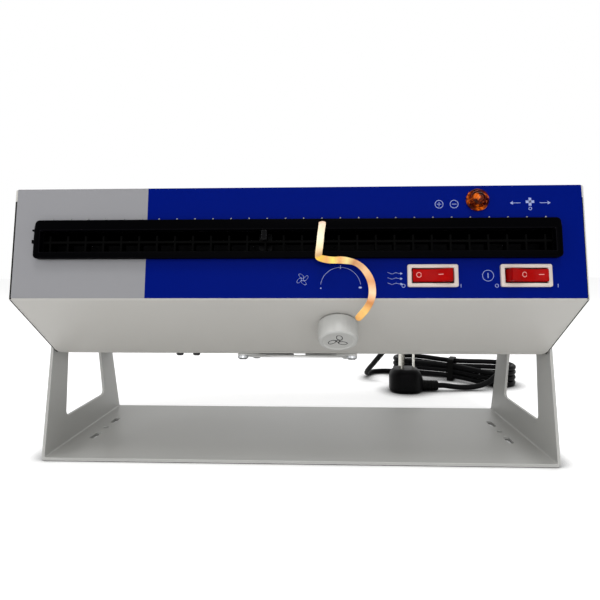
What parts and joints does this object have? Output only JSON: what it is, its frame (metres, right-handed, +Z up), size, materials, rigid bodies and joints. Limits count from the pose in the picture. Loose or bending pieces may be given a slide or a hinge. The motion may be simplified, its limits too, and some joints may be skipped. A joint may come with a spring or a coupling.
{
  "type": "ionizing air blower",
  "caption": "Benchtop ionizing blower: tilting sheet-metal housing with a wide slot outlet, rocker switches and speed knob on a U stand with mains cord.",
  "frame": {"origin": "middle of the underside of the stand's base, on the table", "axes": "+X to the right as seen from the front, +Y to the back, +Z up; the outlet faces -Y"},
  "size_m": [0.4498, 0.3551, 0.1907],
  "materials": {
    "stand_paint": "satin grey powder coat",
    "chassis_paint": "fine-textured grey powder coat",
    "cover_paint": "fine-textured grey powder coat",
    "label_film": "printed label film, deep blue with a grey end",
    "duct_plastic": "black moulded plastic",
    "cleaner_plastic": "black moulded plastic",
    "bristle": "natural bristle",
    "bar_plastic": "ivory insulating plastic",
    "needle_steel": "ground stainless steel",
    "heater_fins": "bare aluminium fins",
    "chamber_sheet": "zinc-plated sheet",
    "fan_plastic": "black glass-filled plastic",
    "motor_copper": "copper windings on steel laminations",
    "bearing_bronze": "sintered bronze",
    "guard_wire": "bright plated wire",
    "screw_zinc": "zinc-plated steel",
    "screw_black": "black oxide steel",
    "module_case": "black potted case",
    "lead_red": "red silicone insulation",
    "board_green": "green solder mask",
    "board_parts": "component bodies",
    "spacer_brass": "turned brass",
    "pot_metal": "plated steel can",
    "knob_plastic": "light grey moulded plastic",
    "switch_bezel": "cream white plastic",
    "rocker_red": "red translucent plastic",
    "lamp_metal": "bright plated bezel",
    "lamp_amber": "amber lens",
    "gland_rubber": "black strain relief",
    "wire_sheath": "dark wire sheath",
    "ribbon_film": "thin cream and orange ribbon",
    "cord_pvc": "black flexible mains cord",
    "plug_pvc": "black moulded plug",
    "pin_metal": "nickel-plated brass",
    "clamp_plastic": "black moulded hand knob",
    "stud_steel": "zinc-plated stud",
    "washer_nylon": "white nylon"
  },
  "bodies": {
    "stand": {"stand_bracket": "stand_paint", "pivot_washers": "washer_nylon", "cord_lead": "cord_pvc", "cord_hank": "cord_pvc", "cord_tail": "cord_pvc", "plug_body": "plug_pvc", "plug_pins": "pin_metal", "plug_relief": "gland_rubber"},
    "housing": {"chassis_pan": "chassis_paint", "front_cover": "cover_paint", "rear_panel": "chassis_paint", "front_label": "label_film", "pivot_nuts": "screw_zinc", "outlet_duct": "duct_plastic", "outlet_vanes": "duct_plastic", "emitter_bar": "bar_plastic", "emitter_needles": "needle_steel", "heater": "heater_fins", "air_chamber": "chamber_sheet", "fan_frame": "fan_plastic", "fan_motor": "motor_copper", "fan_bearing": "bearing_bronze", "finger_guard": "guard_wire", "guard_screws": "screw_zinc", "hv_module": "module_case", "hv_screws": "screw_black", "hv_lead": "lead_red", "control_board": "board_green", "board_parts": "board_parts", "board_spacers": "spacer_brass", "potentiometer": "pot_metal", "pot_nut": "screw_zinc", "warm_switch": "switch_bezel", "power_switch": "switch_bezel", "lamp_holder": "lamp_metal", "lamp_lens": "lamp_amber", "cord_gland": "gland_rubber", "mains_wires": "wire_sheath", "cover_screws": "screw_zinc", "air_ribbon": "ribbon_film"},
    "fan": {"fan_rotor": "fan_plastic"},
    "speed_dial": {"speed_knob": "knob_plastic"},
    "warm_key": {"warm_rocker": "rocker_red"},
    "power_key": {"power_rocker": "rocker_red"},
    "cleaner": {"needle_cleaner": "cleaner_plastic", "cleaner_bristles": "bristle"},
    "left_clamp": {"clamp_knob_left": "clamp_plastic", "clamp_stud_left": "stud_steel"},
    "right_clamp": {"clamp_knob_right": "clamp_plastic", "clamp_stud_right": "stud_steel"}
  },
  "joints": [
    {"name": "housing_tilt", "type": "hinge", "parent": "stand", "child": "housing", "pos_m": [0, 0, 0.1206], "axis": [1, 0, 0], "range_deg": [-34.7, 40.3]},
    {"name": "fan_spin", "type": "hinge", "parent": "housing", "child": "fan", "pos_m": [0, 0.00343, 0.07932], "axis": [0, 0.1788, 0.9839], "continuous": true},
    {"name": "speed_turn", "type": "hinge", "parent": "housing", "child": "speed_dial", "pos_m": [0.029, -0.08039, 0.10228], "axis": [0, -0.6257, -0.7801], "range_deg": [-150, 150]},
    {"name": "warm_rock", "type": "hinge", "parent": "housing", "child": "warm_key", "pos_m": [0.087, -0.09919, 0.13405], "axis": [0, 0.1788, 0.9839], "range_deg": [0, 20]},
    {"name": "power_rock", "type": "hinge", "parent": "housing", "child": "power_key", "pos_m": [0.144, -0.09919, 0.13405], "axis": [0, 0.1788, 0.9839], "range_deg": [-20, 0]},
    {"name": "clean_slide", "type": "slide", "parent": "housing", "child": "cleaner", "axis": [1, 0, 0], "range_m": [-0.135, 0.171]},
    {"name": "left_clamp_turn", "type": "hinge", "parent": "housing", "child": "left_clamp", "pos_m": [-0.19, 0, 0.1206], "axis": [-1, 0, 0], "range_deg": [0, 270]},
    {"name": "right_clamp_turn", "type": "hinge", "parent": "housing", "child": "right_clamp", "pos_m": [0.19, 0, 0.1206], "axis": [1, 0, 0], "range_deg": [0, 270]}
  ]
}
